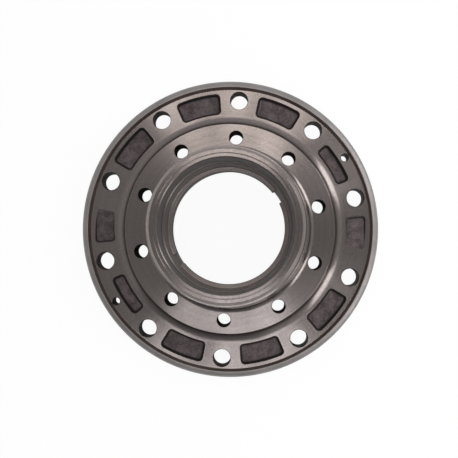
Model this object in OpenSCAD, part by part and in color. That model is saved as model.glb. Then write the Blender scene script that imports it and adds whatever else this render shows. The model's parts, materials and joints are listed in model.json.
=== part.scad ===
// Heavy truck wheel hub: one casting, turned all over apart from the pockets in its wheel flange.
// The axis is Z. The hub stands on the end of its cap boss, with the bearing barrel up.
// The X axis runs through the two locating holes, and all patterns are counted from it.

/* [Flange] */
// Diameter of the wheel flange over its rounded rim
flange_d = 385; // [380:1:400]
// Thickness of the flange between the wheel face and the stud face
flange_t = 24; // [18:1:32]
// Radial width of the raised rim at the edge of the stud face
rim_w = 8.3; // [8:0.1:12]
// Height of the raised rim above the stud face
rim_h = 4.5; // [2:0.5:8]
// Radius that rounds the rim on the outside
rim_round = 7.5; // [3:0.5:7.5]
// Radial run of the sloping wall inside the rim
rim_slope = 3; // [1:0.5:4]
// Chamfer between the wheel face and the outside of the flange
wheel_face_chamfer = 3; // [1:0.5:6]

/* [Wheel spigot] */
// Diameter that centres the wheel
spigot_d = 280.8; // [280:0.1:282]
// Length of the spigot beyond the wheel face
spigot_h = 10; // [6:1:18]
// Radial thickness of the spigot ring
spigot_t = 9.2; // [8:0.2:12]

/* [Disc seat] */
// Height of the disc seat above the stud face
seat_h = 20; // [14:1:30]
// Land from the disc screw circle out to the wall of the disc seat
seat_margin = 17.4; // [14:0.1:19]
// Radius between the stud face and the wall of the disc seat
seat_cove = 13; // [6:1:13]
// Thickness of the web under the disc seat
web_t = 32; // [26:1:40]

/* [Barrel] */
// Height of the barrel above the disc seat
barrel_h = 129; // [125:1:160]
// Land from the edge of a disc screw hole in to the foot of the barrel
barrel_land = 6; // [5:0.5:8]
// Radius between the barrel and the disc seat
barrel_cove = 4; // [2:0.5:4]
// Thickness of the barrel wall round the seal bore
barrel_end_wall = 12; // [8:0.5:13]
// Step from the ring seat out to the taper
ring_seat_shoulder = 3.7; // [1:0.1:5]
// Length of the ring seat
ring_seat_l = 22; // [12:1:30]
// Chamfer on the end of the ring seat
ring_seat_chamfer = 3.3; // [1:0.1:4]
// Radial width of the shallow recess round the mouth of the seal bore
end_recess_w = 4.6; // [2:0.1:6]
// Depth of that recess
end_recess_h = 1.5; // [0.5:0.5:3]

/* [Bore] */
// Diameter of the inboard bearing seat
inboard_seat_d = 144; // [138:0.5:146]
// Length of the inboard bearing seat
inboard_seat_l = 36; // [28:1:40]
// Step from the inboard bearing seat out to the seal bore
seal_step = 1.8; // [1:0.1:3]
// Length of the seal bore
seal_l = 38; // [20:1:45]
// Height of the shoulder that the lip gives the smaller bearing
lip_shoulder = 4.6; // [3:0.1:7]
// Thickness of the lip
lip_t = 14; // [10:1:18]
// Diameter of the outboard bearing seat
outboard_seat_d = 148; // [142:0.5:152]
// Length of the outboard bearing seat
outboard_seat_l = 38; // [28:1:42]
// Step from the outboard bearing seat out to the relief for the axle nut
nut_relief = 1; // [0.5:0.5:3]
// Chamfer at the mouth of each stretch of the bore
bore_chamfer = 1; // [0.5:0.1:1.2]

/* [Cap boss] */
// Height of the boss beyond the wheel face
boss_h = 20; // [12:1:30]
// Diameter of the hub cap seat
cap_seat_d = 164; // [162:0.5:170]
// Depth of the hub cap seat
cap_seat_l = 36; // [20:1:38]
// Thickness of the boss wall round the hub cap seat
boss_wall = 16; // [10:0.5:18]
// Chamfer on the end of the boss
boss_chamfer = 2; // [1:0.5:4]
// Radius in the corners of the trough between the boss and the spigot
trough_cove = 6; // [3:0.5:6]

/* [Holes] */
// Number of wheel studs
stud_count = 10; // [8, 10]
// Pitch circle of the wheel studs
stud_pcd = 335; // [334:0.5:336]
// Diameter of the stud holes
stud_hole_d = 22.5; // [20:0.1:24]
// Number of disc screws
disc_hole_count = 10; // [8, 10]
// Pitch circle of the disc screws
disc_hole_pcd = 232; // [231:0.5:233]
// Diameter of the disc screw holes
disc_hole_d = 17; // [13:0.5:17]
// Pitch circle of the two locating holes
locating_pcd = 351; // [350:0.5:352]
// Diameter of the locating holes
locating_hole_d = 9.6; // [6:0.1:10]

/* [Cast pockets] */
// Land between the cove of the disc seat and the pockets
pocket_inner_land = 3.4; // [2:0.2:5]
// Land between the sloping wall of the rim and the wide pockets
pocket_outer_land = 4.6; // [2:0.2:8]
// Land between a locating hole and the slim pocket beside it
slim_land = 3.4; // [2:0.2:6]
// Angle that a pocket spans between two of ten studs
pocket_span = 19.3; // [16:0.1:21]
// Depth of the pockets
pocket_depth = 5; // [2:0.5:8]
// Radius of the pocket corners
pocket_corner = 5.4; // [2:0.2:6]
// Radial width that a pocket keeps where the land is narrow
pocket_least_w = 8; // [6:0.5:12]
// Depth of the two ramped pockets at their deep end
ramp_depth = 3.6; // [2:0.2:6]
// Angle from the deep end of a ramped floor to where it meets the stud face
ramp_span = 14.6; // [10:0.2:15]

/* [Puller notches] */
// Width of the two notches in the lip
notch_w = 15; // [10:0.5:20]
// How far the notches cut past the inboard bearing seat
notch_overcut = 1; // [0:0.2:1.6]
// Radius of the notch corners
notch_corner = 3; // [1:0.5:5]

/* [Hidden] */
$fn = 180;

cast_grey = [0.43, 0.40, 0.38];
edge_break = 1;
through = 1;

// How far a rounding crosses the walls that it joins, so that the cut doesn't end on them
cross_cut = 0.002;

// Heights, counted from the end of the cap boss
wheel_z = boss_h;
spigot_z = wheel_z - spigot_h;
face_z = wheel_z + flange_t;
rim_z = face_z + rim_h;
seat_z = face_z + seat_h;
trough_z = seat_z - web_t;
barrel_z = seat_z + barrel_h;
neck_z = barrel_z - ring_seat_l;
recess_z = barrel_z - end_recess_h;
seal_z = barrel_z - seal_l;
lip_top_z = seal_z - inboard_seat_l;
lip_bottom_z = lip_top_z - lip_t;
nut_relief_z = lip_bottom_z - outboard_seat_l;

// Diameters that follow from the bearings, the patterns and the walls between them
rim_inner_d = flange_d - 2 * rim_w;
spigot_inner_d = spigot_d - 2 * spigot_t;
seat_d = disc_hole_pcd + 2 * seat_margin;
seal_d = inboard_seat_d + 2 * seal_step;
lip_d = min(inboard_seat_d, outboard_seat_d) - 2 * lip_shoulder;
nut_relief_d = outboard_seat_d + 2 * nut_relief;
cap_bore_d = max(cap_seat_d, nut_relief_d + 2 * bore_chamfer);
boss_d = cap_bore_d + 2 * boss_wall;
ring_seat_d = seal_d + 2 * barrel_end_wall;
neck_d = ring_seat_d + 2 * ring_seat_shoulder;
barrel_foot_d = disc_hole_pcd - disc_hole_d - 2 * barrel_land;
end_recess_d = seal_d + 2 * end_recess_w;
taper_angle = atan((barrel_foot_d - neck_d) / 2 / (neck_z - seat_z));

// Radii of the pockets and of the notches in the lip
pocket_outer_r = rim_inner_d / 2 - rim_slope - pocket_outer_land;
slim_outer_r = (locating_pcd - locating_hole_d) / 2 - slim_land;
pocket_inner_r = min(seat_d / 2 + seat_cove + pocket_inner_land, slim_outer_r - pocket_least_w);
notch_reach = inboard_seat_d / 2 + notch_overcut;

// Angles between neighbours in the two patterns
stud_pitch = 360 / stud_count;
disc_hole_pitch = 360 / disc_hole_count;

// Fills a square corner with a cove, or rounds an edge where it is taken away. The turn points
// it: 0 opens to +X +Y, 90 to -X +Y, 180 to -X -Y and 270 to +X -Y.
module cove(corner, turn, radius) {
    translate(corner)
        rotate(turn)
            difference() {
                square(radius);
                translate([radius, radius])
                    circle(radius);
            }
}

// The triangle that a chamfer takes off an edge, pointed in the same way as a cove
module chamfer(corner, turn, size) {
    translate(corner)
        rotate(turn)
            polygon([[0, 0], [size, 0], [0, size]]);
}

// The section of a turned stretch, from one diameter to another and one height to another
module stretch(inner_d, outer_d, bottom_z, top_z) {
    translate([inner_d / 2, bottom_z])
        square([(outer_d - inner_d) / 2, top_z - bottom_z]);
}

// Flange, raised rim and the ring that centres the wheel
module flange_section() {
    difference() {
        union() {
            stretch(spigot_inner_d, flange_d, wheel_z, face_z);
            stretch(rim_inner_d, flange_d, face_z, rim_z);
            polygon([
                [rim_inner_d / 2 - rim_slope, face_z],
                [rim_inner_d / 2, face_z],
                [rim_inner_d / 2, rim_z]
            ]);
            stretch(spigot_inner_d, spigot_d, spigot_z, wheel_z);
        }
        cove([flange_d / 2, rim_z], 180, rim_round);
        chamfer([flange_d / 2, wheel_z], 90, wheel_face_chamfer);
        chamfer([spigot_d / 2, spigot_z], 90, edge_break);
    }
}

// Raised web that carries the brake disc, with the trough behind it
module web_section() {
    difference() {
        union() {
            stretch(0, seat_d, trough_z, seat_z);
            cove([seat_d / 2, face_z], 0, seat_cove);
            cove([boss_d / 2, trough_z], 270, trough_cove);
            cove([spigot_inner_d / 2, trough_z], 180, trough_cove);
        }
        chamfer([seat_d / 2, seat_z], 180, edge_break);
    }
}

// Tapered barrel with the cove at its foot, the shouldered ring seat and the chamfered end
module barrel_section() {
    cove_x = barrel_foot_d / 2 + barrel_cove * (1 - sin(taper_angle)) / cos(taper_angle);
    cove_centre = [cove_x, seat_z + barrel_cove];
    cove_end = cove_centre - barrel_cove * [cos(taper_angle), sin(taper_angle)];
    difference() {
        union() {
            polygon([
                [0, trough_z],
                [barrel_foot_d / 2, trough_z],
                [barrel_foot_d / 2, seat_z],
                [neck_d / 2, neck_z],
                [0, neck_z]
            ]);
            stretch(0, ring_seat_d, neck_z, barrel_z);
            difference() {
                polygon([[barrel_foot_d / 2, seat_z], [cove_x, seat_z], cove_end]);
                translate(cove_centre)
                    circle(barrel_cove);
            }
        }
        chamfer([ring_seat_d / 2, barrel_z], 180, ring_seat_chamfer);
    }
}

// Boss that takes the hub cap
module boss_section() {
    difference() {
        stretch(0, boss_d, 0, seat_z);
        chamfer([boss_d / 2, 0], 90, boss_chamfer);
    }
}

// Everything that is bored out, from the barrel end down to the cap seat
module bore_section() {
    stretch(0, end_recess_d, recess_z, barrel_z + through);
    stretch(0, seal_d, seal_z, barrel_z);
    chamfer([seal_d / 2, recess_z], 270, bore_chamfer);
    stretch(0, inboard_seat_d, lip_top_z, barrel_z);
    chamfer([inboard_seat_d / 2, seal_z], 270, bore_chamfer);
    stretch(0, lip_d, -through, barrel_z);
    stretch(0, outboard_seat_d, -through, lip_bottom_z);
    stretch(0, nut_relief_d, -through, nut_relief_z);
    stretch(0, cap_bore_d, -through, cap_seat_l);
    chamfer([nut_relief_d / 2, cap_seat_l], 0, bore_chamfer);
    chamfer([cap_bore_d / 2, 0], 0, bore_chamfer);
}

module turned_body() {
    rotate_extrude()
        difference() {
            union() {
                flange_section();
                web_section();
                barrel_section();
                boss_section();
            }
            bore_section();
        }
}

// A ring of equal through holes between two heights
module hole_ring(count, pcd, hole_d, first_angle, bottom_z, top_z) {
    for (i = [0:count - 1])
        rotate(first_angle + i * 360 / count)
            translate([pcd / 2, 0, bottom_z - through])
                cylinder(d = hole_d, h = top_z - bottom_z + 2 * through);
}

// A wedge that opens from the axis along +X
module wedge(half_angle) {
    polygon([[0, 0], flange_d * [1, tan(half_angle)], flange_d * [1, -tan(half_angle)]]);
}

module ring_outline(inner_r, outer_r) {
    difference() {
        circle(outer_r);
        circle(inner_r);
    }
}

// What is left over where a corner of a pocket is rounded. The corner lies out (1) or in (-1)
// from the centre of its rounding, on the side (1 or -1) of the X axis.
module corner_waste(centre_r, out, side, radius) {
    lean = asin(radius / centre_r);
    along = [out, 0];
    across = [-sin(lean), side * cos(lean)];
    rotate(side * (pocket_span / 2 - lean))
        translate([centre_r, 0] + cross_cut * (along + across))
            difference() {
                polygon((radius + 1) * [[0, 0], along, along + across, across]);
                circle(radius);
            }
}

// Outline of a pocket: a sector of a ring with its four corners rounded
module pocket_outline(outer_r) {
    radius = min(pocket_corner, (outer_r - pocket_inner_r) / 2 - 1);
    difference() {
        intersection() {
            ring_outline(pocket_inner_r, outer_r);
            wedge(pocket_span / 2);
        }
        for (side = [-1, 1]) {
            corner_waste(outer_r - radius, 1, side, radius);
            corner_waste(pocket_inner_r + radius, -1, side, radius);
        }
    }
}

// A pocket with a level floor, sunk into the stud face
module pocket(outer_r, depth) {
    translate([0, 0, face_z - depth])
        linear_extrude(depth + through)
            pocket_outline(outer_r);
}

// A pocket whose floor climbs from its deep end until it comes out at the stud face
module ramped_pocket() {
    half = pocket_span / 2;
    deep_y = pocket_outer_r * sin(half);
    run = pocket_outer_r * (sin(half) + sin(ramp_span - half));
    intersection() {
        pocket(pocket_outer_r, ramp_depth);
        translate([pocket_inner_r - run, deep_y, face_z - ramp_depth])
            rotate([-atan(ramp_depth / run), 0, 0])
                translate([0, -2 * run, 0])
                    cube([4 * run, 3 * run, 4 * ramp_depth]);
    }
}

// Each half turn has a slim pocket beside its locating hole, then wide ones and a ramped one
module cast_pockets() {
    last = stud_count / 2 - 1;
    for (half_turn = [0, 180])
        rotate(half_turn) {
            pocket(slim_outer_r, pocket_depth);
            for (i = [1:last - 1])
                rotate(i * stud_pitch)
                    pocket(pocket_outer_r, pocket_depth);
            rotate(last * stud_pitch)
                ramped_pocket();
        }
}

// Two notches that let a drift reach the back of a bearing cup
module puller_notches() {
    for (half_turn = [0, 180])
        rotate(half_turn)
            translate([0, 0, lip_bottom_z - through])
                linear_extrude(lip_t + 2 * through) {
                    translate([0, -notch_w / 2])
                        square([notch_reach - notch_corner, notch_w]);
                    translate([0, notch_corner - notch_w / 2])
                        square([notch_reach, notch_w - 2 * notch_corner]);
                    for (side = [-1, 1])
                        translate([notch_reach - notch_corner, side * (notch_w / 2 - notch_corner)])
                            circle(notch_corner);
                }
}

module wheel_hub() {
    color(cast_grey)
        difference() {
            turned_body();
            hole_ring(stud_count, stud_pcd, stud_hole_d, stud_pitch / 2, wheel_z, face_z);
            hole_ring(
                disc_hole_count, disc_hole_pcd, disc_hole_d, disc_hole_pitch / 2,
                trough_z - trough_cove, seat_z
            );
            hole_ring(2, locating_pcd, locating_hole_d, 0, wheel_z, face_z);
            cast_pockets();
            puller_notches();
        }
}

wheel_hub();
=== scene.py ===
"""Looks of a bare truck wheel hub: one iron casting, turned and drilled, from its bearing end.

Lengths are millimetres until a mesh is made, and the hub's axis is Z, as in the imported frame.
"""
import json
import logging
import math
from dataclasses import dataclass, field
from enum import Enum
from typing import Iterable, Sequence

import bpy
from bpy.types import Material, Node, NodeSocket, NodeTree, Object
from mathutils import Matrix, Vector


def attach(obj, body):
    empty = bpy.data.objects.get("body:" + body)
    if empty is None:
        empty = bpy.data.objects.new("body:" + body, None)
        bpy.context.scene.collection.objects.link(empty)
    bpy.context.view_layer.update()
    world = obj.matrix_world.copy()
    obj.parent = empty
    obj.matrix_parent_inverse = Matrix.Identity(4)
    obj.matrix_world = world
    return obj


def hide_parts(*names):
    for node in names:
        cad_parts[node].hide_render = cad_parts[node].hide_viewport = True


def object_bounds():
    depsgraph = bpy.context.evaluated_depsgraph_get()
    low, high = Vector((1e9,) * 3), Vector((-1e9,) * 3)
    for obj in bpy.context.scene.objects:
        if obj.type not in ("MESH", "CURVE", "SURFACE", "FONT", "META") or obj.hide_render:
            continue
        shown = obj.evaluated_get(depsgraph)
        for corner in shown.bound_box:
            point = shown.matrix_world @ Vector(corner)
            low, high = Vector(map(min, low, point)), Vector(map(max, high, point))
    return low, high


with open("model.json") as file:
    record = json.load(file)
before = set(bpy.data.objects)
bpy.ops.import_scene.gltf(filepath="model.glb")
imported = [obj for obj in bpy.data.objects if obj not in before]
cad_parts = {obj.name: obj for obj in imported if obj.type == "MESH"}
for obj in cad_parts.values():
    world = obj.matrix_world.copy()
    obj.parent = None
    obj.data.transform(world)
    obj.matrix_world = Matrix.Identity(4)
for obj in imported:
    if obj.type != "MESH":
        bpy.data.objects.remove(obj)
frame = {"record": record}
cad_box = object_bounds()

LOG = logging.getLogger("wheel_hub")
BODY = "root"
NODE = "wheel_hub"
MM = 0.001

Point = tuple[float, float]


def linear(hex_colour: str) -> tuple[float, float, float, float]:
    """Turn an sRGB hex colour into linear values.

    Args:
        hex_colour: Six hex digits, such as "8c8580".

    Returns:
        Linear red, green and blue, with an alpha of 1.
    """
    channels = [int(hex_colour[i:i + 2], 16) / 255 for i in (0, 2, 4)]
    bent = [c / 12.92 if c <= 0.04045 else ((c + 0.055) / 1.055) ** 2.4 for c in channels]
    return (bent[0], bent[1], bent[2], 1.0)


def add_node(tree: NodeTree, kind: str, settings: dict | None = None,
             inputs: dict | None = None) -> Node:
    """Add a node to a tree, with its settings and its inputs.

    Args:
        tree: The node tree that gets the node.
        kind: The node's type, such as "ShaderNodeMath".
        settings: Attributes of the node, by name.
        inputs: What goes into the node's inputs, by name or place: a value, an output socket,
            or a node, which stands for its first output.

    Returns:
        The new node.
    """
    node = tree.nodes.new(kind)
    for name, value in (settings or {}).items():
        setattr(node, name, value)
    for key, value in (inputs or {}).items():
        socket = node.inputs[key]
        if isinstance(value, Node):
            value = value.outputs[0]
        if isinstance(value, NodeSocket):
            tree.links.new(value, socket)
        else:
            socket.default_value = value
    return node


def blank_material(name: str) -> tuple[Material, Node]:
    """Make a material that has only its surface shader.

    Args:
        name: Name of the material.

    Returns:
        The material, and the shader in it.
    """
    made = bpy.data.materials.new(name)
    made.use_nodes = True
    return made, made.node_tree.nodes["Principled BSDF"]


# Turned section and cutters


@dataclass(frozen=True)
class Corner:
    """A corner of a turned section.

    Attributes:
        radius: Distance from the axis.
        height: Distance along the axis.
        rounding: Radius that rounds the corner, or fills it where it is hollow.
    """

    radius: float
    height: float
    rounding: float = 0.35


def rounded_outline(corners: Sequence[Corner], guard: float, arc_step: float) -> list[Point]:
    """Round each corner of a closed outline with a true arc.

    Straight stretches get a point just inside each end, so that smooth shading doesn't bleed
    from an arc into the flat beside it.

    Args:
        corners: The corners, in order round the outline.
        guard: Distance of those points from the ends of a stretch.
        arc_step: Largest angle between two points of an arc, in degrees.

    Returns:
        The points of the outline, in order.
    """
    points: list[Point] = []
    count = len(corners)
    for i, corner in enumerate(corners):
        here = Vector((corner.radius, corner.height))
        before = Vector((corners[i - 1].radius, corners[i - 1].height)) - here
        after = Vector((corners[(i + 1) % count].radius, corners[(i + 1) % count].height)) - here
        turn = math.pi - before.angle(after)
        reach = corner.rounding * math.tan(turn / 2)
        start = here + before.normalized() * reach
        end = here + after.normalized() * reach
        middle = (before.normalized() + after.normalized()).normalized()
        centre = here + middle * (corner.rounding / math.cos(turn / 2))
        steps = max(2, math.ceil(math.degrees(turn) / arc_step))
        needed = 4 * (reach + guard)
        if before.length > needed:
            points.append(tuple(start + before.normalized() * guard))
        first, last = start - centre, end - centre
        for k in range(steps + 1):
            share = k / steps
            swing = turn * share
            along = first * math.sin(turn - swing) + last * math.sin(swing)
            points.append(tuple(centre + along / math.sin(turn)))
        if after.length > needed:
            points.append(tuple(end + after.normalized() * guard))
    return points


def mesh_object(name: str, vertices: Iterable[Sequence[float]], faces: Iterable[Sequence[int]],
                material: Material) -> Object:
    """Make an object from millimetre vertices and faces.

    Args:
        name: Name of the object and its mesh.
        vertices: Points in millimetres.
        faces: Vertex numbers of each face, counter-clockwise from outside.
        material: The finish of every face.

    Returns:
        The object, linked to the scene.
    """
    mesh = bpy.data.meshes.new(name)
    mesh.from_pydata([tuple(c * MM for c in v) for v in vertices], [], list(faces))
    mesh.materials.append(material)
    mesh.validate()
    piece = bpy.data.objects.new(name, mesh)
    bpy.context.scene.collection.objects.link(piece)
    return piece


def turn_on_lathe(name: str, outline: Sequence[Point], segments: int, closed: bool,
                  material: Material) -> Object:
    """Sweep an outline round the Z axis.

    Args:
        name: Name of the object.
        outline: Points as radius and height, with the solid on their left.
        segments: Number of steps in a full turn.
        closed: Whether the outline's last point joins its first. If not, both ends are capped.
        material: The finish of every face.

    Returns:
        A closed solid.
    """
    count = len(outline)
    vertices = []
    for k in range(segments):
        angle = 2 * math.pi * k / segments
        vertices += [(r * math.cos(angle), r * math.sin(angle), z) for r, z in outline]
    faces: list[Sequence[int]] = []
    for k in range(segments):
        here, there = k * count, ((k + 1) % segments) * count
        for i in range(count if closed else count - 1):
            j = (i + 1) % count
            faces.append((here + i, there + i, there + j, here + j))
    if not closed:
        faces.append([k * count for k in reversed(range(segments))])
        faces.append([k * count + count - 1 for k in range(segments)])
    return mesh_object(name, vertices, faces, material)


def stack_of_rings(name: str, rings: Sequence[Sequence[Sequence[float]]],
                   material: Material) -> Object:
    """Join equal rings of points from the bottom up and cap both ends.

    Args:
        name: Name of the object.
        rings: Rings of points in millimetres, counter-clockwise from above.
        material: The finish of every face.

    Returns:
        A closed solid.
    """
    count = len(rings[0])
    vertices = [point for ring in rings for point in ring]
    faces: list[Sequence[int]] = [list(reversed(range(count)))]
    for level in range(len(rings) - 1):
        low, high = level * count, (level + 1) * count
        for i in range(count):
            j = (i + 1) % count
            faces.append((low + i, low + j, high + j, high + i))
    top = (len(rings) - 1) * count
    faces.append([top + i for i in range(count)])
    return mesh_object(name, vertices, faces, material)


class RingPattern:
    """A Geometry Nodes tree that repeats a shape at equal steps round the Z axis."""

    def __init__(self) -> None:
        """Build the tree."""
        tree = bpy.data.node_groups.new("ring_pattern", "GeometryNodeTree")
        face = tree.interface
        face.new_socket("Shape", in_out="INPUT", socket_type="NodeSocketGeometry")
        self.sockets = {
            name: face.new_socket(name, in_out="INPUT", socket_type=kind).identifier
            for name, kind in (("Count", "NodeSocketInt"),
                               ("Circle Radius", "NodeSocketFloat"),
                               ("First Angle", "NodeSocketFloat"),
                               ("Step Angle", "NodeSocketFloat"),
                               ("Finish", "NodeSocketMaterial"))
        }
        face.new_socket("Pattern", in_out="OUTPUT", socket_type="NodeSocketGeometry")
        given = add_node(tree, "NodeGroupInput").outputs
        index = add_node(tree, "GeometryNodeInputIndex")
        angle = add_node(tree, "ShaderNodeMath", {"operation": "MULTIPLY_ADD"}, {
            0: index, 1: given["Step Angle"], 2: given["First Angle"]})
        across = add_node(tree, "ShaderNodeMath", {"operation": "COSINE"}, {0: angle})
        along = add_node(tree, "ShaderNodeMath", {"operation": "SINE"}, {0: angle})
        direction = add_node(tree, "ShaderNodeCombineXYZ", None, {"X": across, "Y": along})
        place = add_node(tree, "ShaderNodeVectorMath", {"operation": "SCALE"}, {
            0: direction, "Scale": given["Circle Radius"]})
        points = add_node(tree, "GeometryNodePoints", None, {
            "Count": given["Count"], "Position": place})
        turn = add_node(tree, "ShaderNodeCombineXYZ", None, {"Z": angle})
        copies = add_node(tree, "GeometryNodeInstanceOnPoints", None, {
            "Points": points, "Instance": given["Shape"], "Rotation": turn})
        solid = add_node(tree, "GeometryNodeRealizeInstances", None, {"Geometry": copies})
        dressed = add_node(tree, "GeometryNodeSetMaterial", None, {
            "Geometry": solid, "Material": given["Finish"]})
        add_node(tree, "NodeGroupOutput", None, {0: dressed})
        self.tree = tree

    def repeat(self, shape: Object, count: int, circle_radius: float, first_angle: float,
               step_angle: float, finish: Material) -> Object:
        """Replace a shape's mesh with its copies round the axis.

        Args:
            shape: The object to repeat. Its mesh lies at the origin.
            count: Number of copies.
            circle_radius: Radius of the circle that the copies lie on.
            first_angle: Angle of the first copy from the X axis, in degrees.
            step_angle: Angle between two copies, in degrees.
            finish: The copies' finish.

        Returns:
            The same object, with a plain mesh and no modifier.
        """
        modifier = shape.modifiers.new("pattern", "NODES")
        modifier.node_group = self.tree
        modifier[self.sockets["Count"]] = count
        modifier[self.sockets["Circle Radius"]] = circle_radius * MM
        modifier[self.sockets["First Angle"]] = math.radians(first_angle)
        modifier[self.sockets["Step Angle"]] = math.radians(step_angle)
        modifier[self.sockets["Finish"]] = finish
        return settle(shape)


def settle(piece: Object) -> Object:
    """Turn an object's modifiers into a plain mesh and remove them.

    Args:
        piece: The object to change.

    Returns:
        The same object.
    """
    depsgraph = bpy.context.evaluated_depsgraph_get()
    depsgraph.update()
    made = bpy.data.meshes.new_from_object(piece.evaluated_get(depsgraph),
                                           preserve_all_data_layers=True, depsgraph=depsgraph)
    made.name = piece.name
    piece.modifiers.clear()
    piece.data = made
    return piece


# Finishes


@dataclass(frozen=True)
class TurnedIron:
    """Nodular cast iron, turned on a lathe and left bare under a film of oil.

    The tool leaves fine concentric grooves. They smear each lamp into a bright wedge that points
    at the axis, and stay dark in between.

    Attributes:
        name: Name of the material.
        light: Clean metal.
        dark: Metal under the oil film, in patches and rings.
        roughness: Roughness across the grooves and along them together.
        roughness_change: How much the oil film's patches add to it or take from it.
        anisotropy: How much of it lies across the grooves.
        ring_mm: Width of the rings that the eye can make out, wider than the real feed.
        patch_mm: Size of the oil film's patches.
        patch_share: How much the patches count beside the rings.
        speck_mm: Size of the specks where graphite has torn out, drawn coarser than real.
        speck_share: How much of the mottling comes from the specks.
    """

    name: str = "turned_nodular_iron"
    light: str = "9f9793"
    dark: str = "867e7b"
    roughness: float = 0.22
    anisotropy: float = 0.8
    roughness_change: float = 0.02
    ring_mm: float = 2.4
    patch_mm: float = 70.0
    patch_share: float = 0.6
    speck_mm: float = 2.0
    speck_share: float = 0.4

    def material(self) -> Material:
        """Make the material.

        Returns:
            The material.
        """
        made, metal = blank_material(self.name)
        tree = made.node_tree
        place = add_node(tree, "ShaderNodeTexCoord").outputs["Object"]
        parts = add_node(tree, "ShaderNodeSeparateXYZ", None, {0: place}).outputs
        flat = add_node(tree, "ShaderNodeCombineXYZ", None, {"X": parts["X"], "Y": parts["Y"]})
        reach = add_node(tree, "ShaderNodeVectorMath", {"operation": "LENGTH"}, {0: flat})
        section = add_node(tree, "ShaderNodeCombineXYZ", None, {
            "X": reach.outputs["Value"], "Y": parts["Z"]})
        rings = add_node(tree, "ShaderNodeTexNoise", None, {
            "Vector": section, "Scale": 1 / (self.ring_mm * MM), "Detail": 3.0, "Roughness": 0.7})
        patches = add_node(tree, "ShaderNodeTexNoise", None, {
            "Vector": place, "Scale": 1 / (self.patch_mm * MM), "Detail": 4.0, "Roughness": 0.55,
            "Distortion": 0.4})
        specks = add_node(tree, "ShaderNodeTexNoise", None, {
            "Vector": place, "Scale": 1 / (self.speck_mm * MM), "Detail": 1.0})
        worn = add_node(tree, "ShaderNodeMix", {"data_type": "FLOAT"}, {
            0: self.patch_share, 2: rings, 3: patches})
        mottled = add_node(tree, "ShaderNodeMix", {"data_type": "FLOAT"}, {
            0: self.speck_share, 2: worn, 3: specks})
        blend = add_node(tree, "ShaderNodeMapRange", None, {
            "Value": mottled, "From Min": 0.34, "From Max": 0.66})
        shade = add_node(tree, "ShaderNodeMix", {"data_type": "RGBA"}, {
            0: blend, 6: linear(self.light), 7: linear(self.dark)})
        rough = add_node(tree, "ShaderNodeMapRange", None, {
            "Value": patches, "From Min": 0.3, "From Max": 0.7,
            "To Min": self.roughness - self.roughness_change,
            "To Max": self.roughness + self.roughness_change})
        groove = add_node(tree, "ShaderNodeVectorMath", {"operation": "CROSS_PRODUCT"}, {
            0: (0.0, 0.0, 1.0), 1: flat})
        along = add_node(tree, "ShaderNodeVectorMath", {"operation": "NORMALIZE"}, {0: groove})
        relief = add_node(tree, "ShaderNodeBump", None, {
            "Strength": 0.12, "Distance": 0.03 * MM, "Height": rings})
        tree.links.new(shade.outputs[2], metal.inputs["Base Color"])
        tree.links.new(rough.outputs[0], metal.inputs["Roughness"])
        tree.links.new(along.outputs[0], metal.inputs["Tangent"])
        tree.links.new(relief.outputs[0], metal.inputs["Normal"])
        metal.inputs["Metallic"].default_value = 1.0
        metal.inputs["Anisotropic"].default_value = self.anisotropy
        # A quarter turn lays the smear across the grooves
        metal.inputs["Anisotropic Rotation"].default_value = 0.25
        return made


@dataclass(frozen=True)
class SandCastIron:
    """Nodular cast iron with its sand-cast skin, in the pockets that the lathe never reached.

    It is matt and grainy, with a few soft lumps. Its steeper faces are painted nearly black as
    painted shade, so each pocket has a dark outline round a greyer floor.

    Attributes:
        name: Name of the material.
        light: Tops of the grains.
        dark: Hollows between them.
        painted_wall_shade: Painted shade on the walls.
        grain_mm: Size of the sand grains, drawn coarser than real sand so that they show.
        lump_mm: Size of the lumps.
        lump_share: How much the lumps count beside the grains.
        metallic: Share of bare metal in the skin.
        roughness: Roughness of the skin.
    """

    name: str = "sand_cast_iron"
    light: str = "7c7070"
    dark: str = "4d4444"
    painted_wall_shade: str = "262120"
    grain_mm: float = 1.6
    lump_mm: float = 9.0
    lump_share: float = 0.8
    metallic: float = 0.35
    roughness: float = 0.68

    def material(self) -> Material:
        """Make the material.

        Returns:
            The material.
        """
        made, skin = blank_material(self.name)
        tree = made.node_tree
        place = add_node(tree, "ShaderNodeTexCoord").outputs
        grain = add_node(tree, "ShaderNodeTexNoise", None, {
            "Vector": place["Object"], "Scale": 1 / (self.grain_mm * MM), "Detail": 3.0,
            "Roughness": 0.6})
        lumps = add_node(tree, "ShaderNodeTexNoise", None, {
            "Vector": place["Object"], "Scale": 1 / (self.lump_mm * MM), "Detail": 2.0})
        both = add_node(tree, "ShaderNodeMath", {"operation": "MULTIPLY_ADD"}, {
            0: lumps, 1: self.lump_share, 2: grain})
        tone = add_node(tree, "ShaderNodeMapRange", None, {
            "Value": both, "From Min": 0.7, "From Max": 1.15})
        floor = add_node(tree, "ShaderNodeMix", {"data_type": "RGBA"}, {
            0: tone, 6: linear(self.dark), 7: linear(self.light)})
        # Painted shade: the steeper a face stands, the nearer its colour goes to the dark wall
        # colour
        rise = add_node(tree, "ShaderNodeSeparateXYZ", None, {0: place["Normal"]}).outputs["Z"]
        level = add_node(tree, "ShaderNodeMapRange", {"interpolation_type": "SMOOTHSTEP"}, {
            "Value": rise, "From Min": 0.6, "From Max": 0.995})
        shade = add_node(tree, "ShaderNodeMix", {"data_type": "RGBA"}, {
            0: level, 6: linear(self.painted_wall_shade), 7: floor.outputs[2]})
        relief = add_node(tree, "ShaderNodeBump", None, {
            "Strength": 0.6, "Distance": 0.5 * MM, "Height": both})
        tree.links.new(shade.outputs[2], skin.inputs["Base Color"])
        tree.links.new(relief.outputs[0], skin.inputs["Normal"])
        skin.inputs["Metallic"].default_value = self.metallic
        skin.inputs["Roughness"].default_value = self.roughness
        return made


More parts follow.
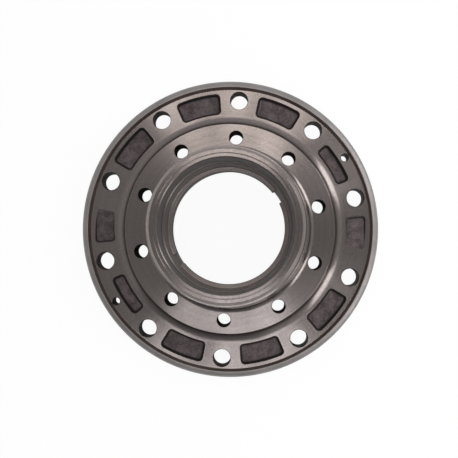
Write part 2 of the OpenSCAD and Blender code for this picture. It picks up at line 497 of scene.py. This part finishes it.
@dataclass(frozen=True)
class DrilledIron:
    """Nodular cast iron, drilled and reamed, its walls coloured dark as painted shade in the holes.

    The walls are much darker than the turned faces, and lift to grey where a lamp grazes them.

    Attributes:
        name: Name of the material.
        light: Lighter smears on the wall.
        dark: Painted shade of the wall, in darker smears.
        score_mm: Size of the smears.
        roughness: Roughness of the wall.
    """

    name: str = "drilled_iron_painted_shade"
    light: str = "6f6661"
    dark: str = "3c3532"
    score_mm: float = 2.5
    roughness: float = 0.42

    def material(self) -> Material:
        """Make the material.

        Returns:
            The material.
        """
        made, wall = blank_material(self.name)
        tree = made.node_tree
        place = add_node(tree, "ShaderNodeTexCoord").outputs["Object"]
        scores = add_node(tree, "ShaderNodeTexNoise", None, {
            "Vector": place, "Scale": 1 / (self.score_mm * MM), "Detail": 2.0})
        # Painted shade: both colours are dark, standing for the shade inside the holes, and the
        # noise only mottles them
        shade = add_node(tree, "ShaderNodeMix", {"data_type": "RGBA"}, {
            0: scores, 6: linear(self.dark), 7: linear(self.light)})
        tree.links.new(shade.outputs[2], wall.inputs["Base Color"])
        wall.inputs["Metallic"].default_value = 1.0
        wall.inputs["Roughness"].default_value = self.roughness
        return made


@dataclass(frozen=True)
class BlastedIron:
    """Nodular cast iron with its outer skin blasted clean with shot.

    The skin is an even, satin grey with a fine pebble grain, so the rim stays calm beside the
    streaked light of the turned faces. A rust-coloured copy of it is darkened further as painted
    shade.

    Attributes:
        name: Name of the material.
        light: Tops of the grains.
        dark: Hollows between them.
        dent_mm: Width of the dents that the shot leaves.
        tint_mm: Size of the soft changes of tone.
        tint_share: How much those changes count beside the dents.
        metallic: Share of bare metal in the skin.
        roughness: Roughness of the skin.
    """

    name: str = "shot_blasted_iron"
    light: str = "b2adab"
    dark: str = "9a9593"
    dent_mm: float = 1.1
    tint_mm: float = 28.0
    tint_share: float = 1.2
    metallic: float = 0.5
    roughness: float = 0.38

    def material(self) -> Material:
        """Make the material.

        Returns:
            The material.
        """
        made, skin = blank_material(self.name)
        tree = made.node_tree
        place = add_node(tree, "ShaderNodeTexCoord").outputs["Object"]
        dents = add_node(tree, "ShaderNodeTexNoise", None, {
            "Vector": place, "Scale": 1 / (self.dent_mm * MM), "Detail": 2.0})
        tints = add_node(tree, "ShaderNodeTexNoise", None, {
            "Vector": place, "Scale": 1 / (self.tint_mm * MM), "Detail": 3.0})
        both = add_node(tree, "ShaderNodeMath", {"operation": "MULTIPLY_ADD"}, {
            0: tints, 1: self.tint_share, 2: dents})
        tone = add_node(tree, "ShaderNodeMapRange", None, {
            "Value": both, "From Min": 0.75, "From Max": 1.45})
        shade = add_node(tree, "ShaderNodeMix", {"data_type": "RGBA"}, {
            0: tone, 6: linear(self.dark), 7: linear(self.light)})
        relief = add_node(tree, "ShaderNodeBump", None, {
            "Strength": 0.35, "Distance": 0.15 * MM, "Height": dents})
        tree.links.new(shade.outputs[2], skin.inputs["Base Color"])
        tree.links.new(relief.outputs[0], skin.inputs["Normal"])
        skin.inputs["Metallic"].default_value = self.metallic
        skin.inputs["Roughness"].default_value = self.roughness
        return made


# The casting


class PocketKind(Enum):
    """The three kinds of cast pocket in the stud face."""

    WIDE = "wide"
    SLIM = "slim"
    RAMPED = "ramped"


@dataclass
class HubCasting:
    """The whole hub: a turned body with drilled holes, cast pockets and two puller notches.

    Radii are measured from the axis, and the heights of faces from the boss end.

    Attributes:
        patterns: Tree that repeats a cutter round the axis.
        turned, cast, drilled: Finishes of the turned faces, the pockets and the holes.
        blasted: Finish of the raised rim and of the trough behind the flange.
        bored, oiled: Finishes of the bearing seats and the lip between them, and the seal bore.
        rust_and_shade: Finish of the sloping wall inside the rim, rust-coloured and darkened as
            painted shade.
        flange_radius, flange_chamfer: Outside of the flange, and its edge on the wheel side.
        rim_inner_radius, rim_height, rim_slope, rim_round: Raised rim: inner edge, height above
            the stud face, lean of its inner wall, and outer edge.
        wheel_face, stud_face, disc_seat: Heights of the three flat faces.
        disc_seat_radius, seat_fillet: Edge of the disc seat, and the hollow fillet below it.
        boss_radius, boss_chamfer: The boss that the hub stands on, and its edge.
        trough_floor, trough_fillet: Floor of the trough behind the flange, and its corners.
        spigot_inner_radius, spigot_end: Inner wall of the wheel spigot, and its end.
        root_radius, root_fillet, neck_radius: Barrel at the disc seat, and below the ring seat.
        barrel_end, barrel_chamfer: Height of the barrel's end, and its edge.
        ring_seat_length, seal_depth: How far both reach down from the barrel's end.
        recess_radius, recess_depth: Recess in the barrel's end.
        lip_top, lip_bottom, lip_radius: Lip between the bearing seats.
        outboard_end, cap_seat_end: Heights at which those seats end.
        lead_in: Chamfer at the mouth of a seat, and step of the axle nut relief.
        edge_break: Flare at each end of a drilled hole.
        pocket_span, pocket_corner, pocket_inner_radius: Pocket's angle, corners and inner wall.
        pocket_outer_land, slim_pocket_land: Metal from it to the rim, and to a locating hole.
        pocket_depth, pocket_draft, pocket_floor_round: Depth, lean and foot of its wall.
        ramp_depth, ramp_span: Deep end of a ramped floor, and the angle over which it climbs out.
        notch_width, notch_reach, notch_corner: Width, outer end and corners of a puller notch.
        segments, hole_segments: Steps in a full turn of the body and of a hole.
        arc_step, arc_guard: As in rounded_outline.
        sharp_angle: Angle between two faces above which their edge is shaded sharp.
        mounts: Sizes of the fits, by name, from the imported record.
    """

    patterns: RingPattern
    turned: Material
    cast: Material
    drilled: Material
    blasted: Material
    bored: Material
    oiled: Material
    rust_and_shade: Material
    flange_radius: float = 192.5
    flange_chamfer: float = 3.0
    rim_inner_radius: float = 184.2
    rim_height: float = 4.5
    rim_slope: float = 3.0
    rim_round: float = 7.5
    wheel_face: float = 20.0
    stud_face: float = 44.0
    disc_seat: float = 64.0
    disc_seat_radius: float = 133.4
    seat_fillet: float = 13.0
    boss_radius: float = 98.0
    boss_chamfer: float = 2.0
    trough_floor: float = 32.0
    trough_fillet: float = 6.0
    spigot_inner_radius: float = 131.2
    spigot_end: float = 10.0
    root_radius: float = 101.5
    root_fillet: float = 6.0
    neck_radius: float = 89.5
    barrel_end: float = 193.0
    barrel_chamfer: float = 3.3
    ring_seat_length: float = 22.0
    seal_depth: float = 38.0
    recess_radius: float = 78.4
    recess_depth: float = 1.5
    lip_top: float = 119.0
    lip_bottom: float = 105.0
    lip_radius: float = 67.4
    outboard_end: float = 67.0
    cap_seat_end: float = 36.0
    lead_in: float = 1.0
    edge_break: float = 0.7
    pocket_span: float = 19.3
    pocket_corner: float = 5.4
    pocket_inner_radius: float = 149.8
    pocket_outer_land: float = 4.6
    slim_pocket_land: float = 3.4
    pocket_depth: float = 5.0
    pocket_draft: float = 1.1
    pocket_floor_round: float = 3.6
    ramp_depth: float = 3.6
    ramp_span: float = 14.6
    notch_width: float = 15.0
    notch_reach: float = 73.0
    notch_corner: float = 3.0
    segments: int = 288
    hole_segments: int = 64
    arc_step: float = 15.0
    arc_guard: float = 0.5
    sharp_angle: float = 28.0
    mounts: dict[str, dict[str, float]] = field(init=False)

    def __post_init__(self) -> None:
        """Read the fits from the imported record, and keep the flange inside the CAD mesh's box."""
        self.mounts = {m["name"]: m["dims"] for m in frame["record"]["mounts"]}
        low, high = cad_box
        reach = min(-low[0], -low[1], high[0], high[1]) / MM
        self.flange_radius = min(self.flange_radius, math.floor(reach * 100) / 100)

    def section(self) -> list[Corner]:
        """List the corners of the turned section, counter-clockwise from the boss end.

        Returns:
            The corners, with the solid on their left.
        """
        seal, inboard, outboard, cap, ring, spigot = (
            self.mounts[name]["r_mm"]
            for name in ("seal_bore", "inboard_bearing_seat", "outboard_bearing_seat",
                         "hub_cap_seat", "ring_seat", "wheel_spigot"))
        inner, rim_inner = self.spigot_inner_radius, self.rim_inner_radius
        rim_top = self.stud_face + self.rim_height
        end, neck = self.barrel_end, self.barrel_end - self.ring_seat_length
        recess, seal_end = end - self.recess_depth, end - self.seal_depth
        cut = self.lead_in
        return [
            # Boss end, trough and wheel spigot
            Corner(cap + cut, 0), Corner(self.boss_radius - self.boss_chamfer, 0),
            Corner(self.boss_radius, self.boss_chamfer),
            Corner(self.boss_radius, self.trough_floor, self.trough_fillet),
            Corner(inner, self.trough_floor, self.trough_fillet), Corner(inner, self.spigot_end),
            Corner(spigot - cut, self.spigot_end, 0.2), Corner(spigot, self.spigot_end + cut, 0.2),
            # Wheel face, outside of the flange and its raised rim
            Corner(spigot, self.wheel_face, 0.6),
            Corner(self.flange_radius - self.flange_chamfer, self.wheel_face),
            Corner(self.flange_radius, self.wheel_face + self.flange_chamfer),
            Corner(self.flange_radius, rim_top, self.rim_round), Corner(rim_inner, rim_top, 0.5),
            Corner(rim_inner - self.rim_slope, self.stud_face, 0.8),
            # Wall of the disc seat, and the barrel up to its end
            Corner(self.disc_seat_radius, self.stud_face, self.seat_fillet),
            Corner(self.disc_seat_radius, self.disc_seat, 0.5),
            Corner(self.root_radius, self.disc_seat, self.root_fillet),
            Corner(self.neck_radius, neck, 0.6), Corner(ring, neck, 0.5),
            Corner(ring, end - self.barrel_chamfer), Corner(ring - self.barrel_chamfer, end),
            # Recess in the barrel end, seal bore and inboard bearing seat
            Corner(self.recess_radius, end), Corner(self.recess_radius, recess, 0.3),
            Corner(seal + cut, recess, 0.3), Corner(seal, recess - cut, 0.3),
            Corner(seal, seal_end, 0.4), Corner(inboard + cut, seal_end, 0.2),
            Corner(inboard, seal_end - cut, 0.2), Corner(inboard, self.lip_top, 0.8),
            # Lip, outboard bearing seat, axle nut relief and cap seat
            Corner(self.lip_radius, self.lip_top), Corner(self.lip_radius, self.lip_bottom),
            Corner(outboard, self.lip_bottom, 0.8), Corner(outboard, self.outboard_end, 0.2),
            Corner(outboard + cut, self.outboard_end, 0.2),
            Corner(outboard + cut, self.cap_seat_end + cut, 0.3),
            Corner(outboard + 2 * cut, self.cap_seat_end, 0.3),
            Corner(cap, self.cap_seat_end, 0.6), Corner(cap, cut, 0.3),
        ]

    def drill(self, name: str, mount: str, bottom: float, top: float) -> Object:
        """Make the cutters of a ring of through holes, flared to break both edges.

        Args:
            name: Name of the cutters.
            mount: Name of the bolt pattern in the record.
            bottom: Height of the lower face.
            top: Height of the upper face.

        Returns:
            The cutters, as one object.
        """
        sizes = self.mounts[mount]
        radius, count = sizes["hole_r_mm"], sizes["count"]
        flare, past = self.edge_break, 2.0
        outline = [(radius + flare + past, bottom - past), (radius, bottom + flare),
                   (radius, top - flare), (radius + flare + past, top + past)]
        step = 360 / count
        # The two locating holes lie on the X axis, and the other rings straddle it
        first = step / 2 if count > 2 else 0.0
        cutter = turn_on_lathe(name, outline, self.hole_segments, closed=False,
                               material=self.drilled)
        return self.patterns.repeat(cutter, count, sizes["pcd_mm"] / 2, first, step, self.drilled)

    def pocket_ring(self, outer_radius: float, inset: float) -> list[Point]:
        """Trace a pocket's outline at some distance inside its mouth.

        Args:
            outer_radius: Outer radius of the pocket.
            inset: Distance inside the mouth, which may be negative.

        Returns:
            Points counter-clockwise from above, the same number for any inset.
        """
        half, corner = math.radians(self.pocket_span / 2), self.pocket_corner
        outer_centre = outer_radius - corner
        inner_centre = self.pocket_inner_radius + corner
        outer_angle = half - math.asin(corner / outer_centre)
        inner_angle = half - math.asin(corner / inner_centre)
        # The long sides stop short of the corners' own points
        outer_end, inner_end = outer_angle * 0.9, inner_angle * 0.9
        quarter, corner_steps, side_steps = math.pi / 2, 6, 8
        # Reach and angle of each arc's centre, its radius, its first and last angle, and its steps
        arcs = (
            (outer_centre, outer_angle, corner - inset, outer_angle, half + quarter, corner_steps),
            (inner_centre, inner_angle, corner - inset, half + quarter,
             inner_angle + 2 * quarter, corner_steps),
            (0, 0, self.pocket_inner_radius + inset, inner_end, -inner_end, side_steps),
            (inner_centre, -inner_angle, corner - inset, 2 * quarter - inner_angle,
             3 * quarter - half, corner_steps),
            (outer_centre, -outer_angle, corner - inset, 3 * quarter - half,
             4 * quarter - outer_angle, corner_steps),
            (0, 0, outer_radius - inset, -outer_end, outer_end, side_steps),
        )
        points: list[Point] = []
        for reach, angle, radius, start, end, steps in arcs:
            for k in range(steps + 1):
                swing = start + (end - start) * k / steps
                points.append((reach * math.cos(angle) + radius * math.cos(swing),
                               reach * math.sin(angle) + radius * math.sin(swing)))
        return points

    def pocket(self, name: str, kind: PocketKind) -> Object:
        """Make the cutter of one pocket on the X axis: drafted walls on a rounded floor.

        Args:
            name: Name of the cutter.
            kind: Which of the three kinds to make.

        Returns:
            The cutter.
        """
        locating = self.mounts["locating_holes"]
        slim_outer = locating["pcd_mm"] / 2 - locating["hole_r_mm"] - self.slim_pocket_land
        wide_outer = self.rim_inner_radius - self.rim_slope - self.pocket_outer_land
        outer = slim_outer if kind is PocketKind.SLIM else wide_outer
        depth = self.ramp_depth if kind is PocketKind.RAMPED else self.pocket_depth
        # The rounded foot leaves at least 1 mm of straight wall above it
        floor, rounding = self.stud_face - depth, min(self.pocket_floor_round, depth - 1)
        edge, past, foot_steps = 0.3, 3.0, 4
        levels = []
        for k in range(foot_steps + 1):
            sweep = math.radians(90 * k / foot_steps)
            levels.append((floor + rounding * (1 - math.cos(sweep)),
                           self.pocket_draft + rounding * (1 - math.sin(sweep))))
        levels += [(self.stud_face - edge, 0.0), (self.stud_face + past, -edge - past)]
        half = self.pocket_span / 2
        rings = []
        for height, inset in levels:
            ring = []
            for x, y in self.pocket_ring(outer, inset):
                climb = 0.0
                if kind is PocketKind.RAMPED:
                    from_deep_end = half - math.degrees(math.atan2(y, x))
                    climb = max(0.0, depth * from_deep_end / self.ramp_span)
                ring.append((x, y, height + climb))
            rings.append(ring)
        return stack_of_rings(name, rings, self.cast)

    def pockets(self) -> list[Object]:
        """Make the cutters of all pockets between the studs.

        Returns:
            One object for each kind of pocket.
        """
        step = 360 / self.mounts["wheel_studs"]["count"]
        # From one slim one to the next lie three wide ones and a ramped one
        wide = self.pocket("wide_pockets", PocketKind.WIDE)
        self.patterns.repeat(wide, 3, 0, step, step, self.cast)
        self.patterns.repeat(wide, 2, 0, 0, 180, self.cast)
        slim = self.pocket("slim_pockets", PocketKind.SLIM)
        self.patterns.repeat(slim, 2, 0, 0, 180, self.cast)
        ramped = self.pocket("ramped_pockets", PocketKind.RAMPED)
        self.patterns.repeat(ramped, 2, 0, 4 * step, 180, self.cast)
        return [wide, slim, ramped]

    def notches(self) -> Object:
        """Make the cutters of the two puller notches through the lip.

        Returns:
            The cutters, as one object.
        """
        half, corner, reach = self.notch_width / 2, self.notch_corner, self.notch_reach
        # The cutters start in the open bore and reach past both faces of the lip
        inside, past, corner_steps = self.lip_radius - 12, 1, 6
        outline: list[Point] = [(inside, -half)]
        for side in (-1, 1):
            for k in range(corner_steps + 1):
                sweep = math.radians(90 * ((k / corner_steps) - (1 if side < 0 else 0)))
                outline.append((reach - corner + corner * math.cos(sweep),
                                side * (half - corner) + corner * math.sin(sweep)))
        outline.append((inside, half))
        heights = (self.lip_bottom - past, self.lip_top + past)
        rings = [[(x, y, z) for x, y in outline] for z in heights]
        cutter = stack_of_rings("puller_notches", rings, self.turned)
        return self.patterns.repeat(cutter, 2, 0, 0, 180, self.turned)

    def dress(self, body: Object) -> None:
        """Give the rim and its sloping wall, the trough and the bore their own finishes.

        Args:
            body: The cut body. Its holes and pockets have their cutters' finishes.
        """
        skin = len(body.data.materials)
        fine, oily, rust_and_shade_slot = skin + 1, skin + 2, skin + 3
        for finish in (self.blasted, self.bored, self.oiled, self.rust_and_shade):
            body.data.materials.append(finish)
        # The faces' centres lie at least this far inside their own regions
        hair = 0.1
        bore = self.mounts["outboard_bearing_seat"]["r_mm"] + self.lead_in / 2
        seal_low = self.barrel_end - self.seal_depth - hair
        seal_high = self.barrel_end - self.recess_depth - self.lead_in + hair
        for face in body.data.polygons:
            if face.material_index:
                continue
            reach, height = Vector(face.center.xy).length / MM, face.center.z / MM
            rim = reach > self.rim_inner_radius and height > self.wheel_face + hair
            trough = (self.boss_radius - hair < reach < self.spigot_inner_radius + hair
                      and self.boss_chamfer + hair < height < self.stud_face)
            if rim or trough:
                face.material_index = skin
            elif reach < bore and seal_low < height < seal_high:
                face.material_index = oily
            elif reach < bore and self.outboard_end < height < self.barrel_end:
                face.material_index = fine
            # The sloping wall inside the rim gets rust colour together with painted shade
            elif (reach > self.rim_inner_radius - self.rim_slope
                  and height > self.stud_face + 2 * hair):
                face.material_index = rust_and_shade_slot

    def build(self) -> Object:
        """Turn the body, cut everything out of it and dress it.

        Returns:
            The finished piece.
        """
        outline = rounded_outline(self.section(), self.arc_guard, self.arc_step)
        body = turn_on_lathe("wheel_hub_casting", outline, self.segments, closed=True,
                             material=self.turned)
        cutters = [
            self.drill("stud_holes", "wheel_studs", self.wheel_face, self.stud_face),
            self.drill("disc_screw_holes", "disc_screws", self.trough_floor, self.disc_seat),
            self.drill("locating_holes", "locating_holes", self.wheel_face, self.stud_face),
            *self.pockets(),
            self.notches(),
        ]
        for cutter in cutters:
            cut = body.modifiers.new(cutter.name, "BOOLEAN")
            cut.operation = "DIFFERENCE"
            cut.solver = "EXACT"
            cut.material_mode = "TRANSFER"
            cut.object = cutter
        settle(body)
        for cutter in cutters:
            bpy.data.objects.remove(cutter)
        self.dress(body)
        for face in body.data.polygons:
            face.use_smooth = True
        body.data.set_sharp_from_angle(angle=math.radians(self.sharp_angle))
        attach(body, BODY)
        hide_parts(NODE)
        return body


# Studio


@dataclass(frozen=True)
class Softbox:
    """A rectangular studio lamp that points at the hub.

    Attributes:
        name: Name of the lamp.
        bearing: Direction as the photograph shows it, counter-clockwise from the right.
        tilt: Angle from straight above.
        distance: Distance from the hub, in metres.
        width: Width across the bearing, in metres.
        length: Length along the tilt, in metres.
        radiance: Brightness of its face, where 1 is white.
        colour: Hex colour of its light.
        count: Number of lamps that hang side by side as one bank.
        spread: Angle of bearing from one lamp of a bank to the next.
    """

    name: str
    bearing: float
    tilt: float
    distance: float
    width: float
    length: float
    radiance: float
    colour: str = "ffffff"
    count: int = 1
    spread: float = 0.0


@dataclass
class Studio:
    """Floor, backdrop, lamps and camera, as the photograph has them.

    Attributes:
        stud_face: Height of the stud face above the floor.
        photo_turn: Angle of the hub's X axis in the photograph, counter-clockwise from right.
        camera_height: Height of the camera above the stud face.
        camera_right: How far the camera stands right of the axis.
        camera_down: How far it stands below the axis, as the photograph shows it.
        frame_width: Width that the photograph covers at the stud face.
        photo_px: Width and height of the photograph in pixels.
        aim_px: Pixel that the camera points at, from the left and from the top.
        floor_size: Width of the square floor, in metres.
        floor_glow: Share of the floor's white that is its own glow.
        bore_glow: Share of that glow which the bore mirrors.
        ceiling_fill, wall_fill: Brightness of the room overhead and level with the floor.
        room_tint: Colour of that light.
        camera_hood: Factor for the ceiling right behind the camera.
        near_wall, far_wall: Factors for the walls towards the photograph's bottom and top.
        lamps: The lamps and banks of lamps.
    """

    stud_face: float
    photo_turn: float = 32.14
    camera_height: float = 833.0
    camera_right: float = 27.9
    camera_down: float = 20.4
    frame_width: float = 595.4
    photo_px: float = 458.0
    aim_px: Point = (251.9, 245.05)
    floor_size: float = 12.0
    floor_glow: float = 0.9
    bore_glow: float = 0.13
    ceiling_fill: float = 0.4
    wall_fill: float = 0.17
    room_tint: str = "fefcff"
    camera_hood: float = 0.54
    near_wall: float = 0.5
    far_wall: float = 1.35
    lamps: tuple[Softbox, ...] = (
        Softbox("top_bank", 93, 18, 1.5, 0.16, 0.5, 2.0, "fff9f6", count=3, spread=24),
        Softbox("bottom_bank", 265, 16.5, 1.5, 0.17, 0.52, 2.0, "f8f8fc", count=3, spread=27),
        Softbox("upper_right_strip", 29, 53, 1.3, 0.37, 1.1, 2.45),
        Softbox("lower_right_strip", 329, 53, 1.3, 0.38, 1.1, 2.25),
    )

    def direction(self, bearing: float, tilt: float) -> Vector:
        """Turn a bearing in the photograph and a tilt into a direction in the hub's frame.

        Args:
            bearing: Angle as the photograph shows it, counter-clockwise from the right.
            tilt: Angle from straight up.

        Returns:
            A direction of length 1.
        """
        angle, lean = math.radians(bearing - self.photo_turn), math.radians(tilt)
        return Vector((math.cos(angle) * math.sin(lean), math.sin(angle) * math.sin(lean),
                       math.cos(lean)))

    def hang_lamps(self, box: Softbox) -> None:
        """Hang a softbox, or each softbox of a bank, and point it at the hub.

        Args:
            box: The softbox or bank.
        """
        target = Vector((0, 0, self.stud_face * MM))
        for place in range(box.count):
            lamp = bpy.data.lights.new(box.name, "AREA")
            lamp.shape = "RECTANGLE"
            lamp.size, lamp.size_y = box.width, box.length
            lamp.color = linear(box.colour)[:3]
            lamp.energy = box.radiance * math.pi * box.width * box.length
            hung = bpy.data.objects.new(box.name, lamp)
            bearing = box.bearing + box.spread * (place - (box.count - 1) / 2)
            away = self.direction(bearing, box.tilt)
            hung.location = target + away * box.distance
            hung.rotation_euler = away.to_track_quat("Z", "Y").to_euler()
            hung.visible_camera = False
            bpy.context.scene.collection.objects.link(hung)

    def lay_floor(self) -> None:
        """Lay a white floor. It shows white to the camera and shaded under the hub."""
        half = self.floor_size / 2 / MM
        floor = mesh_object("studio_floor", [(-half, -half, 0), (half, -half, 0),
                                             (half, half, 0), (-half, half, 0)],
                            [(0, 1, 2, 3)], self.floor_material())

    def floor_material(self) -> Material:
        """Make the floor's paper: white, dimmer in mirrored views, and with soft shadows.

        Returns:
            The material.
        """
        made = bpy.data.materials.new("white_floor_paper")
        made.use_nodes = True
        tree = made.node_tree
        tree.nodes.clear()
        seen = add_node(tree, "ShaderNodeLightPath").outputs
        place = add_node(tree, "ShaderNodeTexCoord").outputs["Object"]
        reach = add_node(tree, "ShaderNodeVectorMath", {"operation": "LENGTH"}, {0: place})
        # The hub shades the floor near it, so a mirrored floor glows only past 0.2 m
        beyond = add_node(tree, "ShaderNodeMapRange", {"interpolation_type": "SMOOTHSTEP"}, {
            "Value": reach.outputs["Value"], "From Min": 0.2, "From Max": 0.5})
        # and, faintly, under the open bore
        within = add_node(tree, "ShaderNodeMapRange", {"interpolation_type": "SMOOTHSTEP"}, {
            "Value": reach.outputs["Value"], "From Min": 0.068, "From Max": 0.08,
            "To Min": self.bore_glow, "To Max": 0.0})
        open_floor = add_node(tree, "ShaderNodeMath", {"operation": "MAXIMUM"}, {
            0: beyond, 1: within})
        mirrored = add_node(tree, "ShaderNodeMath", {"operation": "MAXIMUM"}, {
            0: seen["Is Glossy Ray"], 1: seen["Is Transmission Ray"]})
        reflected = add_node(tree, "ShaderNodeMath", {"operation": "MULTIPLY"}, {
            0: mirrored, 1: open_floor})
        white = add_node(tree, "ShaderNodeMath", {"operation": "MAXIMUM"}, {
            0: seen["Is Camera Ray"], 1: reflected})
        glowing = add_node(tree, "ShaderNodeMath", {"operation": "MULTIPLY"}, {
            0: white, 1: self.floor_glow})
        paper = add_node(tree, "ShaderNodeBsdfDiffuse", None, {"Color": linear("e6e6e6")})
        glow = add_node(tree, "ShaderNodeEmission", None, {
            "Color": (1, 1, 1, 1), "Strength": 1.05})
        mixed = add_node(tree, "ShaderNodeMixShader", None, {0: glowing, 1: paper, 2: glow})
        add_node(tree, "ShaderNodeOutputMaterial", None, {"Surface": mixed})
        return made

    def light_world(self) -> None:
        """Fill the room with soft light from above, fading to the walls. The camera sees white."""
        world = bpy.data.worlds.new("studio_room")
        bpy.context.scene.world = world
        world.use_nodes = True
        tree = world.node_tree
        tree.nodes.clear()
        seen = add_node(tree, "ShaderNodeLightPath").outputs
        towards = add_node(tree, "ShaderNodeTexCoord").outputs["Generated"]
        height = add_node(tree, "ShaderNodeSeparateXYZ", None, {0: towards}).outputs["Z"]
        # Heights and cosines, as the spans of a view direction over which each change sets in
        room = add_node(tree, "ShaderNodeMapRange", {"interpolation_type": "SMOOTHSTEP"}, {
            "Value": height, "From Min": 0.0, "From Max": 0.55, "To Min": self.wall_fill,
            "To Max": self.ceiling_fill})
        hood = add_node(tree, "ShaderNodeMapRange", {"interpolation_type": "SMOOTHSTEP"}, {
            "Value": height, "From Min": 0.9, "From Max": 0.98, "To Min": 1.0,
            "To Max": self.camera_hood})
        level = add_node(tree, "ShaderNodeVectorMath", {"operation": "MULTIPLY"}, {
            0: towards, 1: (1.0, 1.0, 0.0)})
        bearing = add_node(tree, "ShaderNodeVectorMath", {"operation": "NORMALIZE"}, {0: level})
        near = add_node(tree, "ShaderNodeVectorMath", {"operation": "DOT_PRODUCT"}, {
            0: bearing, 1: self.direction(bearing=250, tilt=90)})
        shaded = add_node(tree, "ShaderNodeMapRange", {"interpolation_type": "SMOOTHSTEP"}, {
            "Value": near.outputs["Value"], "From Min": 0.72, "From Max": 0.88, "To Min": 1.0,
            "To Max": self.near_wall})
        far = add_node(tree, "ShaderNodeVectorMath", {"operation": "DOT_PRODUCT"}, {
            0: towards, 1: self.direction(bearing=68, tilt=90)})
        lit = add_node(tree, "ShaderNodeMapRange", None, {
            "Value": far.outputs["Value"], "From Min": -0.3, "From Max": 0.9, "To Min": 1.0,
            "To Max": self.far_wall})
        fill = shaded
        for factor in (lit, room, hood):
            fill = add_node(tree, "ShaderNodeMath", {"operation": "MULTIPLY"}, {
                0: fill, 1: factor})
        strength = add_node(tree, "ShaderNodeMix", {"data_type": "FLOAT"}, {
            0: seen["Is Camera Ray"], 2: fill, 3: 1.0})
        tint = add_node(tree, "ShaderNodeMix", {"data_type": "RGBA"}, {
            0: seen["Is Camera Ray"], 6: linear(self.room_tint), 7: (1, 1, 1, 1)})
        light = add_node(tree, "ShaderNodeBackground", None, {
            "Color": tint.outputs[2], "Strength": strength})
        add_node(tree, "ShaderNodeOutputWorld", None, {"Surface": light})

    def set_camera(self) -> None:
        """Stand the camera over the hub, framed as the photograph is."""
        camera = bpy.data.cameras.new("camera")
        camera.sensor_width = 36.0
        camera.lens = camera.sensor_width * self.camera_height / self.frame_width
        camera.shift_x = (self.photo_px / 2 - self.aim_px[0]) / self.photo_px
        camera.shift_y = (self.aim_px[1] - self.photo_px / 2) / self.photo_px
        stand = bpy.data.objects.new("camera", camera)
        turn = Matrix.Rotation(math.radians(-self.photo_turn), 3, "Z")
        height = self.stud_face + self.camera_height
        stand.location = turn @ Vector((self.camera_right, -self.camera_down, height)) * MM
        stand.rotation_euler = (0.0, 0.0, math.radians(-self.photo_turn))
        bpy.context.scene.collection.objects.link(stand)
        bpy.context.scene.camera = stand

    def build(self) -> None:
        """Set up the whole studio."""
        bpy.context.scene.view_settings.view_transform = "Standard"
        self.lay_floor()
        self.light_world()
        for lamp in self.lamps:
            self.hang_lamps(lamp)
        self.set_camera()


def main() -> None:
    """Build the hub and its studio, and report the piece."""
    logging.basicConfig(level=logging.INFO, format="%(name)s: %(message)s")
    # Ground bearing seats show no grooves, and spread each lamp wider than a turned face does
    bored = TurnedIron(name="bored_nodular_iron", roughness=0.34, speck_share=0.1)
    # Oil from the seal lies thick here, which darkens the metal and softens its shine
    oiled = TurnedIron(name="oily_turned_iron", light="8c8583", dark="6c6664", roughness=0.3,
                       anisotropy=0.7, speck_share=0.1)
    # Rust colour plus painted shade make the sloping wall inside the rim a dark ring
    rust_and_shade = BlastedIron(name="rust_and_shade_iron", light="786b64", dark="61554f")
    casting = HubCasting(
        patterns=RingPattern(), turned=TurnedIron().material(), cast=SandCastIron().material(),
        drilled=DrilledIron().material(), blasted=BlastedIron().material(),
        bored=bored.material(), oiled=oiled.material(), rust_and_shade=rust_and_shade.material())
    piece = casting.build()
    LOG.info("%s: %d faces", piece.name, len(piece.data.polygons))
    Studio(stud_face=casting.stud_face).build()


if __name__ == "__main__":
    main()
